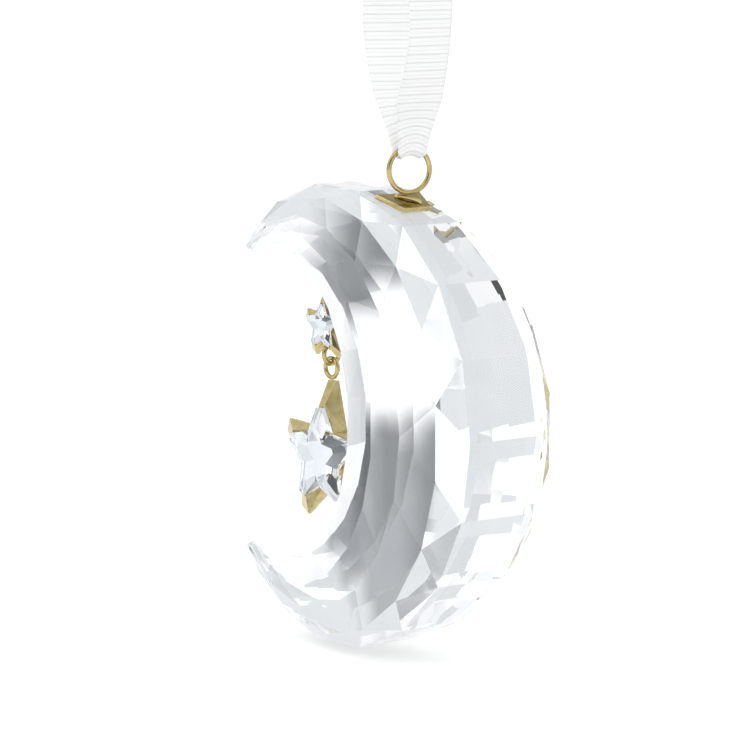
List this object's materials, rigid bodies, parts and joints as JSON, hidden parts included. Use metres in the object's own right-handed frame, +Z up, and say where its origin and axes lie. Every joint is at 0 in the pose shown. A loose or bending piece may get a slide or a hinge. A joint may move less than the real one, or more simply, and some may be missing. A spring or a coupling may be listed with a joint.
{
  "type": "crystal moon ornament",
  "caption": "Faceted crystal crescent moon ornament on a ribbon loop, with a fixed small star and a larger star that dangles from it on a link ring.",
  "frame": {"origin": "inside the top of the ribbon loop, where a hook carries the ornament", "axes": "+Z up; +Y is the thickness of the crescent, with the stars' stones towards -Y; the crescent opens towards -X"},
  "size_m": [0.0541, 0.0194, 0.1083],
  "materials": {
    "crystal": "clear cut and polished crystal",
    "gold": "polished pale gold plating",
    "adhesive": "clear cured adhesive",
    "foil": "bright silver foil behind the stones",
    "ribbon": "white grosgrain"
  },
  "bodies": {
    "ribbon": {"hanging_ribbon": "ribbon", "ribbon_knot": "ribbon"},
    "moon": {"moon_crystal": "crystal", "plate_adhesive": "adhesive", "top_plate": "gold", "ring_foot": "gold", "hanging_ring": "gold", "post_adhesive": "adhesive", "small_star_post": "gold", "small_star_setting": "gold", "small_star_foil": "foil", "small_star_stone": "crystal", "small_star_eye": "gold"},
    "link": {"link_ring": "gold"},
    "large_star": {"large_star_eye": "gold", "large_star_setting": "gold", "large_star_foil": "foil", "large_star_stone": "crystal"}
  },
  "joints": [
    {"name": "moon_swing", "type": "hinge", "parent": "ribbon", "child": "moon", "pos_m": [0, 0, -0.027], "axis": [0.2419, 0.9703, 0], "range_deg": [-20, 20]},
    {"name": "link_swing", "type": "hinge", "parent": "moon", "child": "link", "pos_m": [-0.01756, 0.00082, -0.05547], "axis": [1, 0, 0], "range_deg": [-30, 30]},
    {"name": "star_swing", "type": "hinge", "parent": "link", "child": "large_star", "pos_m": [-0.01756, 0.00082, -0.05745], "axis": [0, 1, 0], "range_deg": [-2, 35]}
  ]
}
